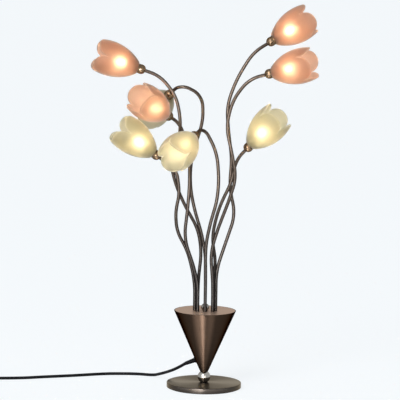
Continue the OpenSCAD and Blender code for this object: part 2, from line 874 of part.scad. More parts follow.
module switch_rocker() {
  color([0.15, 0.15, 0.16]) switch_place() translate([0, 0, rocker_z])
    rotate([rocker_tilt, 0, 0]) {
      rotate([0, 90, 0]) cylinder(d = rocker_pin_d,
        h = switch_w - 2 * switch_wall - 2 * rocker_gap, center = true);
      rotate([90, 0, 90]) linear_extrude(height = rocker_w, center = true)
        intersection() {
          translate([0, -1.4]) circle(r = rocker_len / 2 - 0.8, $fn = 96);
          translate([-rocker_len / 2, -2.2]) square([rocker_len, 8.4]);
        }
    }
}

// ---------------------------------------------------------------- plug

module plug_body() {
  w = plug_w / 2;
  color(BLACK) difference() {
    union() {
      translate([plug_at.x, 0, 0]) linear_extrude(height = plug_t) polygon([
        [-w + plug_round, plug_front],
        [w - plug_round, plug_front],
        [w, plug_front + plug_round],
        [w, plug_back - plug_taper],
        [gland_d / 2, plug_back],
        [-gland_d / 2, plug_back],
        [-w, plug_back - plug_taper],
        [-w, plug_front + plug_round]
      ]);
      translate([plug_at.x, plug_back - over, plug_t / 2]) rotate([-90, 0, 0])
        cylinder(d1 = gland_d, d2 = relief_end_d, h = plug_relief + over);
    }
    for (s = [-1, 1])
      pin_place(s) rotate([180, 0, 0]) translate([0, 0, -over])
        cylinder(d = plug_root_d + 2 * hole_gap, h = plug_root_len + hole_gap + over);
  }
}

// Places its children at the foot of the left or right pin, with +Z along the pin
module pin_place(side) {
  translate([plug_at.x + side * plug_pitch / 2, plug_front, plug_t / 2])
    rotate([90, 0, 0]) children();
}

module plug_pins() {
  color(STEEL) for (s = [-1, 1]) pin_place(s) {
    cylinder(d = plug_pin_d, h = plug_pin_len);
    translate([0, 0, -plug_root_len]) cylinder(d = plug_root_d, h = plug_root_len + over);
  }
}

// ---------------------------------------------------------------- the lamp

foot_pad();
foot_disc();
foot_ball();
cone_shell();
top_plate();
top_ball_nut();
tie_rod();
foot_nut();
foot_washer();
tube_nuts();
toroid_transformer();
rubber_pads();
clamp_washers();
clamp_nuts();
terminal_bracket();
terminal_block();
lampholders();
glass_rings();
strain_relief();
cord_lead();
switch_lower();
switch_upper();
switch_rocker();
cord_middle();
cord_coil();
cord_tail();
plug_body();
plug_pins();
stem(0);  // stem_1
stem(1);  // stem_2
stem(2);  // stem_3
stem(3);  // stem_4
stem(4);  // stem_5
stem(5);  // stem_6
stem(6);  // stem_7
stem(7);  // stem_8
cup(0);  // cup_1
cup(1);  // cup_2
cup(2);  // cup_3
cup(3);  // cup_4
cup(4);  // cup_5
cup(5);  // cup_6
cup(6);  // cup_7
cup(7);  // cup_8
bulb(0);  // bulb_1
bulb(1);  // bulb_2
bulb(2);  // bulb_3
bulb(3);  // bulb_4
bulb(4);  // bulb_5
bulb(5);  // bulb_6
bulb(6);  // bulb_7
bulb(7);  // bulb_8
shade(0);  // shade_1
shade(1);  // shade_2
shade(2);  // shade_3
shade(3);  // shade_4
shade(4);  // shade_5
shade(5);  // shade_6
shade(6);  // shade_7
shade(7);  // shade_8
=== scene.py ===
"""The looks of the tulip table lamp: smooth tubes, frosted glass petals, lit bulbs,
brushed bronze and the cord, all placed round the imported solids. Outlines and routes are
in millimetres, in the frame of the solids, and what Blender gets is in metres."""

import math

import bmesh
import bpy
from mathutils import Matrix, Vector


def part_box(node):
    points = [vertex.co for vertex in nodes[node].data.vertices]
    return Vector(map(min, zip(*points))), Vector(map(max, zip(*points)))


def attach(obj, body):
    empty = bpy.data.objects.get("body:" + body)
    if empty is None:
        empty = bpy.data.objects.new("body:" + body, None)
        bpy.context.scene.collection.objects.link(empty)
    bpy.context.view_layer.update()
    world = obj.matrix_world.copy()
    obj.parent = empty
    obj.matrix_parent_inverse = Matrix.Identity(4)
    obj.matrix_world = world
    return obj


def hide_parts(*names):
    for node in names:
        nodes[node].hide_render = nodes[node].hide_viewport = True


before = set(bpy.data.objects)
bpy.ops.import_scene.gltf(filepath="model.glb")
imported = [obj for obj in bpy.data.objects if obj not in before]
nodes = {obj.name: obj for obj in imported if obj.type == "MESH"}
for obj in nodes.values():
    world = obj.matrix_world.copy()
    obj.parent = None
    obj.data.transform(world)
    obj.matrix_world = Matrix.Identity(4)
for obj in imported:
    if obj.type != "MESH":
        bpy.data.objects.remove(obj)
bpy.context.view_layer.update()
MM = 0.001
LAMP = "lamp"
SHADES = range(1, 9)  # also the tubes, cups and bulbs
PINK = (1, 2, 4, 5)
UNLIT = 8
AS_IS = Matrix.Identity(4)
AXIS_R = 0.01  # a turned outline ends this far from its axis

# ------------------------------------------------------------------ camera

CAMERA_AT = Vector((0, -4.4, 0.868))
CAMERA_TO = Vector((-0.01235, 0, 0.3421))
CAMERA_LENS = 222.03
CAMERA_SENSOR = 36
CAMERA_CLIP = (0.1, 200)
CAMERA_ROLL = math.radians(0.934)


def add_object(name, data, material=None):
    piece = bpy.data.objects.new(name, data)
    bpy.context.scene.collection.objects.link(piece)
    if material:
        data.materials.append(material)
    return piece


def make_camera():
    data = bpy.data.cameras.new("camera")
    data.lens = CAMERA_LENS
    data.sensor_width = CAMERA_SENSOR
    data.clip_start, data.clip_end = CAMERA_CLIP
    camera = add_object("camera", data)
    turn = (CAMERA_TO - CAMERA_AT).to_track_quat("-Z", "Y").to_matrix()
    turn = turn @ Matrix.Rotation(CAMERA_ROLL, 3, "Z")
    camera.matrix_world = Matrix.Translation(CAMERA_AT) @ turn.to_4x4()
    bpy.context.scene.camera = camera


make_camera()

# ------------------------------------------------------------------ mesh tools

# A shell is a pair of points and faces. A place is the matrix that puts it in the frame.

WELD = 1e-6


def mesh_object(name, shell, material, sharp=40, values=None):
    """sharp is the angle in degrees above which an edge is crisp. values gives numbers
    for the points, by the name that a material reads them."""
    points, faces = shell
    mesh = bpy.data.meshes.new(name)
    mesh.from_pydata([tuple(p) for p in points], [], faces)
    for key, numbers in (values or {}).items():
        mesh.attributes.new(key, "FLOAT", "POINT").data.foreach_set("value", numbers)
    mesh.validate()
    tidy = bmesh.new()
    tidy.from_mesh(mesh)
    bmesh.ops.remove_doubles(tidy, verts=tidy.verts, dist=WELD)
    bmesh.ops.recalc_face_normals(tidy, faces=tidy.faces)
    for face in tidy.faces:
        face.smooth = True
    limit = math.radians(sharp)
    for edge in tidy.edges:
        if len(edge.link_faces) == 2 and edge.calc_face_angle(0) > limit:
            edge.smooth = False
    tidy.to_mesh(mesh)
    tidy.free()
    return add_object(name, mesh, material)


def wear(piece, replaced, body=LAMP):
    """Rides a piece on a body, in the place of nodes, which it hides."""
    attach(piece, body)
    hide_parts(*replaced)


def clamped(value):
    return max(0.0, min(1.0, value))


def eased(value):
    """0 to 1, level at both ends."""
    t = clamped(value)
    return t * t * (3 - 2 * t)


def arc(cx, cy, r, start, end, count):
    """Outline points on an arc, angles in degrees."""
    angles = [math.radians(start + (end - start) * i / count) for i in range(count + 1)]
    return [(cx + r * math.cos(a), cy + r * math.sin(a)) for a in angles]


def round_angles(count):
    return [2 * math.pi * j / count for j in range(count)]


def band(rows, count, closed=False):
    """Faces between rows of count points. Each row is a closed ring, and closed joins
    the last row to the first."""
    faces = []
    for i in range(rows if closed else rows - 1):
        n = (i + 1) % rows
        for j in range(count):
            k = (j + 1) % count
            faces.append((i * count + j, i * count + k, n * count + k, n * count + j))
    return faces


def skinned(rings, ends=True):
    """A shell over rings of equal count, closed at both ends or not."""
    count = len(rings[0])
    faces = band(len(rings), count)
    if ends:
        faces.append(tuple(range(count - 1, -1, -1)))
        faces.append(tuple((len(rings) - 1) * count + j for j in range(count)))
    return [p for ring in rings for p in ring], faces


def turned(outline, steps):
    """A shell from a closed outline of (radius, height), turned about +Z."""
    points = [
        Vector((r * math.cos(a), r * math.sin(a), z))
        for r, z in outline for a in round_angles(steps)
    ]
    return points, band(len(outline), steps, closed=True)


def tube(line, radius, sides):
    """A shell round a line, without twist."""
    last = len(line) - 1
    side = (line[1] - line[0]).normalized().orthogonal().normalized()
    rings = []
    for i, point in enumerate(line):
        way = (line[min(i + 1, last)] - line[max(i - 1, 0)]).normalized()
        side = (side - way * side.dot(way)).normalized()
        other = way.cross(side)
        rings.append([
            point + radius * (math.cos(a) * side + math.sin(a) * other)
            for a in round_angles(sides)
        ])
    return skinned(rings)


def superellipse(half_x, half_y, power, count):
    """Points round an oval: an ellipse at power 2, and squarer above."""
    points = []
    for a in round_angles(count):
        c, s = math.cos(a), math.sin(a)
        points.append((
            half_x * math.copysign(abs(c) ** (2 / power), c),
            half_y * math.copysign(abs(s) ** (2 / power), s),
        ))
    return points


def round_box(half_x, half_y, r, z, count=48):
    """A ring with the outline of a rounded rectangle, at height z."""
    points = []
    quarter = count // 4
    for corner, (sx, sy) in enumerate(((1, 1), (-1, 1), (-1, -1), (1, -1))):
        for i in range(quarter):
            a = math.pi / 2 * (corner + i / (quarter - 1))
            points.append(Vector((
                sx * (half_x - r) + r * math.cos(a), sy * (half_y - r) + r * math.sin(a), z
            )))
    return points


def joined(*shells):
    points, faces = [], []
    for some_points, some_faces in shells:
        base = len(points)
        points += some_points
        faces += [tuple(base + i for i in face) for face in some_faces]
    return points, faces


def placed(shell, place=AS_IS):
    """A shell in millimetres, put in its place in metres."""
    points, faces = shell
    return [place @ (p * MM) for p in points], faces


def along(point, way):
    """The place at a point, in metres, with +Z along way, turned as the solids are."""
    way = Vector(way).normalized()
    polar = math.acos(max(-1, min(1, way.z)))
    around = math.atan2(way.y, way.x)
    return (
        Matrix.Translation(point)
        @ Matrix.Rotation(around, 4, "Z")
        @ Matrix.Rotation(polar, 4, "Y")
    )


# ------------------------------------------------------------------ material tools


def new_material(name):
    material = bpy.data.materials.new(name)
    material.use_nodes = True
    tree = material.node_tree
    return material, tree, tree.nodes["Principled BSDF"]


def add_node(tree, kind, **numbers):
    """A node of a kind. numbers go on its sockets, with _ for each space in a name."""
    node = tree.nodes.new(kind)
    for key, number in numbers.items():
        node.inputs[key.replace("_", " ")].default_value = number
    return node


def object_point(tree):
    """Where a point of the surface is, in metres."""
    return tree.nodes.new("ShaderNodeTexCoord").outputs["Object"]


def noise(tree, scale, detail):
    texture = add_node(tree, "ShaderNodeTexNoise", Scale=scale, Detail=detail)
    tree.links.new(object_point(tree), texture.inputs["Vector"])
    return texture.outputs["Fac"]


def turned_lines(tree, scale, detail, on_face):
    """Fine lines as a lathe leaves them: by radius on a face, by height on a wall."""
    axes = (1, 1, 0) if on_face else (0, 0, 1)
    mapping = add_node(tree, "ShaderNodeMapping", Scale=axes)
    length = tree.nodes.new("ShaderNodeVectorMath")
    length.operation = "LENGTH"
    texture = add_node(tree, "ShaderNodeTexNoise", Scale=scale, Detail=detail)
    texture.noise_dimensions = "1D"
    tree.links.new(object_point(tree), mapping.inputs["Vector"])
    tree.links.new(mapping.outputs["Vector"], length.inputs[0])
    tree.links.new(length.outputs["Value"], texture.inputs["W"])
    return texture.outputs["Fac"]


def ramp(tree, value, first, second, low=0.3, high=0.7):
    """The first colour where value is below low, the second where it is above high."""
    node = tree.nodes.new("ShaderNodeValToRGB")
    for element, at, color in zip(node.color_ramp.elements, (low, high), (first, second)):
        element.position = at
        element.color = (*color, 1)
    tree.links.new(value, node.inputs["Fac"])
    return node.outputs["Color"]


def map_range(tree, value, low, high):
    node = add_node(tree, "ShaderNodeMapRange", To_Min=low, To_Max=high)
    tree.links.new(value, node.inputs["Value"])
    return node.outputs["Result"]


def read_value(tree, key):
    """The numbers kept on a mesh under a name."""
    node = tree.nodes.new("ShaderNodeAttribute")
    node.attribute_name = key
    return node.outputs["Fac"]


def risen(tree, low, high):
    """0 below the height low and 1 above the height high, in metres."""
    parts = tree.nodes.new("ShaderNodeSeparateXYZ")
    node = add_node(tree, "ShaderNodeMapRange", From_Min=low, From_Max=high)
    tree.links.new(object_point(tree), parts.inputs[0])
    tree.links.new(parts.outputs["Z"], node.inputs["Value"])
    return node.outputs["Result"]


def blended(tree, share, first, second):
    """A colour between two; first and second are sockets or plain colours."""
    node = tree.nodes.new("ShaderNodeMix")
    node.data_type = "RGBA"
    tree.links.new(share, node.inputs["Factor"])
    for socket, color in ((node.inputs[6], first), (node.inputs[7], second)):
        if isinstance(color, tuple):
            socket.default_value = (*color, 1)
        else:
            tree.links.new(color, socket)
    return node.outputs[2]


def mixed(tree, share, first, second):
    """A shader between two, by a plain share or a socket."""
    node = tree.nodes.new("ShaderNodeMixShader")
    if isinstance(share, float):
        node.inputs["Fac"].default_value = share
    else:
        tree.links.new(share, node.inputs["Fac"])
    tree.links.new(first.outputs[0], node.inputs[1])
    tree.links.new(second.outputs[0], node.inputs[2])
    return node


def bump(tree, value, strength, distance, shader):
    node = add_node(tree, "ShaderNodeBump", Strength=strength, Distance=distance)
    tree.links.new(value, node.inputs["Height"])
    tree.links.new(node.outputs["Normal"], shader.inputs["Normal"])


# ------------------------------------------------------------------ metals and plastics

ON_WALL, ON_FACE = "wall", "face"
PAINTED_GLOW_RISE = (0.17, 0.44)  # the heights between which the tubes change from a grey lower tint to their warmer upper colour, which is painted warm light from the lit shades
GRAIN_TURN = 0.25  # in turns, so that a gleam is drawn out across the tool marks
METAL_DETAIL = 4
METAL_SPREAD = 0.04
METAL_BUMP = (0.06, 0.0001)
PLASTIC_DETAIL = 2
PLASTIC_STOPS = (0.35, 0.75)
PLASTIC_GAIN, PLASTIC_LIFT = 1.35, 0.004
PLASTIC_SPREAD = (-0.05, 0.08)
PLASTIC_BUMP = 0.0002


def brushed_metal(name, dark, light, edge, rough, grain, lathe=None, brush=0.0, below_glow_tint=None):
    """edge tints what the metal mirrors at a glancing angle, and below_glow_tint tints its
    lower end, so that only the upper end keeps the warmer colour, which is painted warm light
    from the lit shades. lathe says where the tool marks run, and brush how far they draw out a
    gleam."""
    material, tree, shader = new_material(name)
    shader.inputs["Metallic"].default_value = 1.0
    shader.inputs["Specular Tint"].default_value = (*edge, 1)
    if lathe:
        lines = turned_lines(tree, grain, METAL_DETAIL, lathe == ON_FACE)
    else:
        lines = noise(tree, grain, METAL_DETAIL)
    color = ramp(tree, lines, dark, light)
    # painted light: grey below and warmer above, for the light of the lit shades
    if below_glow_tint:
        color = blended(tree, risen(tree, *PAINTED_GLOW_RISE), below_glow_tint, color)
    tree.links.new(color, shader.inputs["Base Color"])
    gloss = map_range(tree, lines, rough - METAL_SPREAD, rough + METAL_SPREAD)
    tree.links.new(gloss, shader.inputs["Roughness"])
    if brush:
        shader.inputs["Anisotropic"].default_value = brush
        shader.inputs["Anisotropic Rotation"].default_value = GRAIN_TURN
        bump(tree, lines, *METAL_BUMP, shader)
        tangent = tree.nodes.new("ShaderNodeTangent")
        tangent.direction_type = "RADIAL"
        tangent.axis = "Z"
        tree.links.new(tangent.outputs["Tangent"], shader.inputs["Tangent"])
    return material


def plastic(name, color, rough, grain=900, depth=0.05, shine=0.5):
    """depth is how strongly its fine grain stands out, and shine how strongly it mirrors."""
    material, tree, shader = new_material(name)
    shader.inputs["Specular IOR Level"].default_value = shine
    fine = noise(tree, grain, PLASTIC_DETAIL)
    lighter = tuple(min(1, c * PLASTIC_GAIN + PLASTIC_LIFT) for c in color)
    tint = ramp(tree, fine, color, lighter, *PLASTIC_STOPS)
    tree.links.new(tint, shader.inputs["Base Color"])
    gloss = map_range(tree, fine, *(rough + spread for spread in PLASTIC_SPREAD))
    tree.links.new(gloss, shader.inputs["Roughness"])
    bump(tree, fine, depth, PLASTIC_BUMP, shader)
    return material


BRONZE = brushed_metal(
    "brushed_bronze", (0.044, 0.028, 0.019), (0.058, 0.038, 0.027), (0.20, 0.15, 0.12),
    rough=0.42, grain=900, lathe=ON_WALL, brush=1.0,
)
FOOT_BRONZE = brushed_metal(
    "foot_bronze", (0.048, 0.040, 0.035), (0.066, 0.056, 0.048), (0.88, 0.78, 0.65),
    rough=0.32, grain=700, lathe=ON_FACE, brush=0.8,
)
# warmer above and grey below: painted warm light from the lit shades
TUBE_BRONZE = brushed_metal(
    "tube_bronze", (0.072, 0.054, 0.043), (0.090, 0.068, 0.054), (0.16, 0.13, 0.11),
    rough=0.32, grain=14, below_glow_tint=(0.040, 0.036, 0.034),
)
PLATE_METAL = brushed_metal(
    "satin_plate", (0.38, 0.28, 0.22), (0.42, 0.315, 0.25), (0.85, 0.70, 0.60),
    rough=0.42, grain=700, lathe=ON_FACE, brush=0.5,
)
NICKEL = brushed_metal(
    "polished_nickel", (0.34, 0.32, 0.29), (0.40, 0.375, 0.345), (0.7, 0.65, 0.6),
    rough=0.16, grain=40,
)
CUP_METAL = brushed_metal(
    "cup_bronze", (0.055, 0.038, 0.026), (0.30, 0.20, 0.12), (0.30, 0.23, 0.17),
    rough=0.24, grain=420,
)
STEEL = brushed_metal(
    "zinc_steel", (0.55, 0.55, 0.56), (0.68, 0.68, 0.70), (0.9, 0.9, 0.9),
    rough=0.3, grain=120,
)
PIN_METAL = brushed_metal(
    "pin_nickel", (0.55, 0.50, 0.38), (0.66, 0.60, 0.47), (0.9, 0.85, 0.75),
    rough=0.22, grain=120,
)
BLACK_PVC = plastic("black_pvc", (0.005, 0.005, 0.006), rough=0.5, shine=0.07)
BLACK_PLASTIC = plastic(
    "black_plastic", (0.014, 0.014, 0.015), rough=0.55, grain=1400, depth=0.12, shine=0.3
)
FELT = plastic("felt", (0.02, 0.02, 0.02), rough=0.95, grain=2500, depth=0.6)
CERAMIC = plastic("ceramic", (0.78, 0.75, 0.69), rough=0.3, grain=300, depth=0.02)
WINDING = plastic("winding_tape", (0.62, 0.42, 0.08), rough=0.35, grain=200, depth=0.2)

# ------------------------------------------------------------------ glass and bulbs

# roughness and index of the two lobes that blur the bulb: a bright middle, a wide halo
GLASS_CORE = (0.6, 1.35)
GLASS_HALO = (0.85, 1.5)
GLASS_CLEAR = 0.62  # the share of the two lobes beside the milky glass
GLASS_CLOUD = (45, 3)  # scale and detail
GLASS_SHINE = 0.45
GLASS_FRESNEL = 1.2
# painted shade, and partly the thicker glass there: how dark the glass gets at its seat on the
# cup
SEAT_PAINTED_SHADE = 0.78
PASS_BASE, PASS_TINT = 0.5, 0.35
QUARTZ_GRAIN = (400, 2)
QUARTZ_TINTS = ((0.72, 0.72, 0.70), (0.80, 0.80, 0.78))
QUARTZ_ROUGH = 0.12


def frosted_glass(name, dark, light, rim, glow):
    """Frosted glass, lit from within by its bulb, with pale ground rims and painted shade
    towards its seat on the cup.
    """
    material, tree, unused = new_material(name)
    tree.nodes.remove(unused)
    tint = ramp(tree, noise(tree, *GLASS_CLOUD), dark, light)
    tint = blended(tree, read_value(tree, "rim"), tint, rim)
    # painted shade: darker towards the seat on the cup, partly for the thicker glass there
    seat = tuple(SEAT_PAINTED_SHADE * c for c in dark)
    tint = blended(tree, read_value(tree, "seat"), tint, seat)

    through = tree.nodes.new("ShaderNodeBsdfTranslucent")
    face = tree.nodes.new("ShaderNodeBsdfDiffuse")
    for side in (through, face):
        tree.links.new(tint, side.inputs["Color"])
    lobes = [
        add_node(
            tree, "ShaderNodeBsdfRefraction", Color=(*glow, 1), Roughness=roughness, IOR=ior
        )
        for roughness, ior in (GLASS_CORE, GLASS_HALO)
    ]
    shine = add_node(tree, "ShaderNodeBsdfGlossy", Roughness=GLASS_SHINE)
    fresnel = add_node(tree, "ShaderNodeFresnel", IOR=GLASS_FRESNEL)
    glass = mixed(tree, GLASS_CLEAR, mixed(tree, 0.5, through, face), mixed(tree, 0.5, *lobes))
    gloss = mixed(tree, fresnel.outputs[0], glass, shine)

    # light from the bulb and the studio passes the wall, tinted
    path = tree.nodes.new("ShaderNodeLightPath")
    passed = [PASS_BASE + PASS_TINT * c for c in glow]
    passing = add_node(tree, "ShaderNodeBsdfTransparent", Color=(*passed, 1))
    final = mixed(tree, path.outputs["Is Shadow Ray"], gloss, passing)
    tree.links.new(final.outputs[0], tree.nodes["Material Output"].inputs["Surface"])
    return material


def lamp_light(name, color, strength):
    """Quartz that glows where its filament is and stays clear grey at the pinch."""
    material, tree, shader = new_material(name)
    quartz = ramp(tree, noise(tree, *QUARTZ_GRAIN), *QUARTZ_TINTS)
    tree.links.new(quartz, shader.inputs["Base Color"])
    shader.inputs["Roughness"].default_value = QUARTZ_ROUGH
    shader.inputs["Emission Color"].default_value = (*color, 1)
    glow = map_range(tree, read_value(tree, "lit"), 0, strength)
    tree.links.new(glow, shader.inputs["Emission Strength"])
    return material


PINK_GLASS = frosted_glass(
    "pink_glass", (0.50, 0.295, 0.215), (0.55, 0.335, 0.245),
    rim=(0.76, 0.54, 0.43), glow=(0.94, 0.80, 0.69),
)
GREEN_GLASS = frosted_glass(
    "green_glass", (0.455, 0.455, 0.33), (0.51, 0.505, 0.37),
    rim=(0.70, 0.71, 0.58), glow=(0.95, 0.89, 0.76),
)
BULB_LIT = lamp_light("bulb_lit", (1.0, 0.83, 0.60), strength=195.0)
BULB_DIM = lamp_light("bulb_dim", (1.0, 0.85, 0.62), strength=0.2)


def glass_of(k):
    return PINK_GLASS if k in PINK else GREEN_GLASS


def bulb_of(k):
    return BULB_DIM if k == UNLIT else BULB_LIT


# ------------------------------------------------------------------ cords

CORD_D = 5.5
CORD_SIDES = 16
LEAD = [
    (-34.5, 16, 40.4), (-44, 23, 33.5), (-53, 33, 27), (-62, 45, 21), (-72, 59, 15),
    (-82, 74, 9.5), (-91, 88, 5), (-103, 99, 2.8), (-119, 104, 2.8), (-137, 106, 2.8),
    (-156, 105, 2.8), (-175, 103, 2.8), (-193, 98, 2.8), (-211, 91, 2.8),
    (-228, 84, 2.8), (-247, 77, 2.8), (-265, 71, 2.8), (-283, 65, 2.8),
    (-301, 59, 2.8), (-319, 52, 2.8), (-337, 47, 2.8), (-354, 44, 2.8),
    (-371, 42, 2.8), (-385, 40, 2.8), (-397, 35, 3), (-406, 27, 3.8),
    (-411, 16, 5.8), (-412, 6, 7),
]
MIDDLE = [
    (-412, -68, 7), (-412, -76, 5.8), (-415, -86, 3.6), (-422, -95, 2.8), (-433, -100, 2.8),
    (-445, -98, 2.8), (-454, -90, 2.8), (-459, -79, 2.8), (-461, -62, 2.8),
    (-462, -42, 2.8), (-462, -21, 2.8), (-462, 0, 2.8), (-462, 20, 2.8), (-462, 40, 2.8),
    (-462, 60, 2.8), (-462, 80, 2.8),
]
TAIL = [
    (-424.6, 42.6, 8.3), (-436, 42.6, 8.4), (-448, 42.5, 8.5), (-460, 42, 8.5),
    (-472, 39.5, 8.1), (-482, 34, 7.5), (-489, 26, 7), (-492, 16, 6.85), (-492, 6, 6.85),
]
COIL_AT = (-424.6, 80)
COIL_OUTER = 37.4
COIL_INNER = 25.3
COIL_TURNS = 4.75
COIL_RISE = 0.35  # the part of a turn on which the cord climbs to its upper layer
COIL_STEPS = 48


def smooth_line(points, rounds=3):
    """In metres; halves every span on a cubic through its neighbours, a few times over."""
    line = [Vector(p) * MM for p in points]
    for _ in range(rounds):
        last = len(line) - 1
        finer = []
        for i in range(last):
            a, b = line[max(i - 1, 0)], line[i]
            c, d = line[i + 1], line[min(i + 2, last)]
            finer += [b, (9 * (b + c) - a - d) / 16]
        line = finer + [line[last]]
    return line


def coil_line():
    """Inwards on the table, up, and outwards again on top, clockwise from above."""
    line = []
    spiral = (COIL_TURNS - COIL_RISE) / 2
    for i in range(1, round(COIL_TURNS * COIL_STEPS)):
        turn = i / COIL_STEPS
        inwards = clamped(turn / spiral) - clamped((turn - spiral - COIL_RISE) / spiral)
        r = COIL_OUTER + (COIL_INNER - COIL_OUTER) * inwards
        z = CORD_D / 2 + CORD_D * eased((turn - spiral) / COIL_RISE)
        a = math.pi - 2 * math.pi * turn
        spot = (COIL_AT[0] + r * math.cos(a), COIL_AT[1] + r * math.sin(a), z)
        line.append(Vector(spot) * MM)
    return line


def make_cord(name, line, replaced, **facts):
    shell = tube(line, CORD_D * MM / 2, CORD_SIDES)
    piece = mesh_object(name, shell, BLACK_PVC, sharp=60)
    wear(piece, replaced)


# ------------------------------------------------------------------ strain relief

CONE_Z = 29.807
CONE_H = 112
CONE_TIP_R = 7.25
CONE_LIP_R = 56
CONE_SLOPE = (CONE_LIP_R - CONE_TIP_R) / CONE_H
GLAND_Z = 50
GLAND_TURN = 155
# (radius, height over the cone's wall), up to the ribs and after them
RELIEF_FLANGE = [
    (AXIS_R, -5), (4.3, -5), (4.5, -4.7), (4.5, 0.35), (5.6, 0.35),
    *arc(5.4, 0.95, 0.6, -90, 0, 4), *arc(5.2, 1.5, 0.8, 0, 80, 4),
]
RELIEF_END = [(3.35, 23), (3.3, 23.7), (3.05, 24), (AXIS_R, 24)]
# one rib: share of the pitch, and share of the groove's depth
RIB = ((0.04, 0.25), (0.16, 0), (0.5, 0), (0.62, 1), (0.92, 1))


def gland_place():
    r = CONE_TIP_R + CONE_SLOPE * (GLAND_Z - CONE_Z)
    return (
        Matrix.Rotation(math.radians(GLAND_TURN), 4, "Z")
        @ Matrix.Translation(Vector((r, 0, GLAND_Z)) * MM)
        @ Matrix.Rotation(math.pi / 2 + math.atan(CONE_SLOPE), 4, "Y")
    )


def ribbed(start, end, first_r, last_r, ribs, depth):
    """Outline of a tapered sleeve with moulded ribs, from start to end."""
    outline = []
    pitch = (end - start) / ribs
    for i in range(ribs):
        for share, drop in RIB:
            z = start + pitch * (i + share)
            r = first_r + (last_r - first_r) * (z - start) / (end - start)
            outline.append((r - drop * depth, z))
    return outline


def make_strain_relief():
    outline = RELIEF_FLANGE + ribbed(2.6, 22.6, 4.4, 3.45, 6, 0.5) + RELIEF_END
    shell = placed(turned(outline, steps=40), gland_place())
    piece = mesh_object("strain_relief_boot", shell, BLACK_PVC)
    wear(piece, ["strain_relief"])
    return piece


# ------------------------------------------------------------------ switch

SWITCH_AT = (-412, -31)
SWITCH_END = 29
SLEEVE_Z = 7
ROCKER_Z = 12.5
ROCKER_TILT = 8
# rings of the shells: half widths in X and Y, radius of the corners, height
SWITCH_BASE = [
    (11.2, 28.2, 3.2, 0), (11.7, 28.7, 3.7, 0.3), (12, 29, 4, 0.9), (12, 29, 4, 8.6),
    (11.75, 28.75, 3.75, 8.75), (11.75, 28.75, 3.75, 9), (10.2, 27.2, 2.2, 9),
    (10.2, 27.2, 2.2, 1.8),
]
SWITCH_COVER = [
    (10.2, 27.2, 2.2, 15.2), (10.2, 27.2, 2.2, 9), (11.75, 28.75, 3.75, 9),
    (11.75, 28.75, 3.75, 9.25), (12, 29, 4, 9.4), (12, 29, 4, 14.2),
    (11.8, 28.8, 3.8, 15.3), (11.2, 28.2, 3.4, 16.3), (10.2, 27.2, 2.6, 16.9),
    (9.4, 26.4, 2.2, 17), (6.5, 11, 1.2, 17), (6.1, 10.6, 0.8, 16.8),
    (5.9, 10.4, 0.6, 16.4), (5.9, 10.4, 0.6, 15.2), (10.2, 27.2, 2.2, 15.2),
]
SWITCH_SLEEVE = [
    (AXIS_R, -2), (4.25, -2), (4.25, 0.6), *ribbed(1, 7, 4.2, 3.6, 3, 0.5),
    (3.5, 7.4), (3.3, 7.9), (3.0, 8), (AXIS_R, 8),
]
# half of the rocker's profile in (Y, Z), from its foot up, then its middle
ROCKER_HALF = [
    (8.9, -2.1), (9.05, -1), (8.6, 1.6), (7.6, 3.6), (6.2, 5.2), (4.8, 5.95), (2.4, 5.55),
]
ROCKER_MIDDLE = (0, 5.4)
ROCKER_DEPTH = 12
# X, and how far the profile is drawn in there
ROCKER_ENDS = ((-5.5, 0.6), (-5.3, 0.15), (-4.9, 0), (4.9, 0), (5.3, 0.15), (5.5, 0.6))


def make_switch():
    place = Matrix.Translation(Vector((*SWITCH_AT, 0)) * MM)
    shells = [placed(skinned([round_box(*row) for row in SWITCH_BASE]), place)]
    for side in (-1, 1):
        end = Vector((SWITCH_AT[0], SWITCH_AT[1] + side * SWITCH_END, SLEEVE_Z)) * MM
        shells.append(placed(turned(SWITCH_SLEEVE, steps=32), along(end, (0, side, 0))))
    lower = mesh_object("switch_base", joined(*shells), BLACK_PLASTIC)
    wear(lower, ["switch_lower"])
    cover = skinned([round_box(*row) for row in SWITCH_COVER], ends=False)
    upper = mesh_object("switch_cover", placed(cover, place), BLACK_PLASTIC)
    wear(upper, ["switch_upper"])
    profile = [(-y, z) for y, z in ROCKER_HALF] + [ROCKER_MIDDLE] + ROCKER_HALF[::-1]
    rings = [
        [
            Vector((x, y * (1 - inset / ROCKER_DEPTH), z - (inset if z > 0 else 0)))
            for y, z in profile
        ]
        for x, inset in ROCKER_ENDS
    ]
    tilt = Matrix.Rotation(math.radians(ROCKER_TILT), 4, "X")
    seat = place @ Matrix.Translation((0, 0, ROCKER_Z * MM)) @ tilt
    key = mesh_object("rocker_key", placed(skinned(rings), seat), BLACK_PLASTIC)
    wear(key, ["switch_rocker"], "rocker")
    return [lower, upper, key]


# ------------------------------------------------------------------ plug

PLUG_AT = (-492, 6)
PLUG_Z = 6.85
PLUG_LEN = 54
PIN_SIDE = 9.5
# half width, half height, squareness and distance from the plug's start at the cord
PLUG_NECK = [
    (r, r, 2, back)
    for r, back in [(3.1, 0), *ribbed(0.3, 15, 3.35, 4.3, 5, 0.4), (4.35, 16)]
]
PLUG_SECTIONS = [
    (0.5, 0.5, 2, 0), *PLUG_NECK, (5.2, 4.9, 2.2, 18.5), (8, 5.7, 2.6, 22),
    (12, 6.3, 3.2, 26.5), (15.4, 6.6, 4, 31), (17.1, 6.75, 4.6, 35), (17.4, 6.8, 5, 39),
    (17.2, 6.75, 5, 44), (17.4, 6.8, 5, 49), (17.1, 6.7, 5, 52), (16.2, 6.3, 5, 53.5),
    (15.2, 5.9, 5, PLUG_LEN),
]
PIN_OUTLINE = [
    (AXIS_R, -7), (1.5, -7), (1.5, 9), (1.98, 9.2), (2, 9.6), (2, 17.6), (1.85, 18.3),
    (1.4, 18.8), (0.7, 19), (AXIS_R, 19),
]
PIN_JACKET = [(1.5, 0), (1.9, 0), (1.9, 9), (1.5, 9.1)]


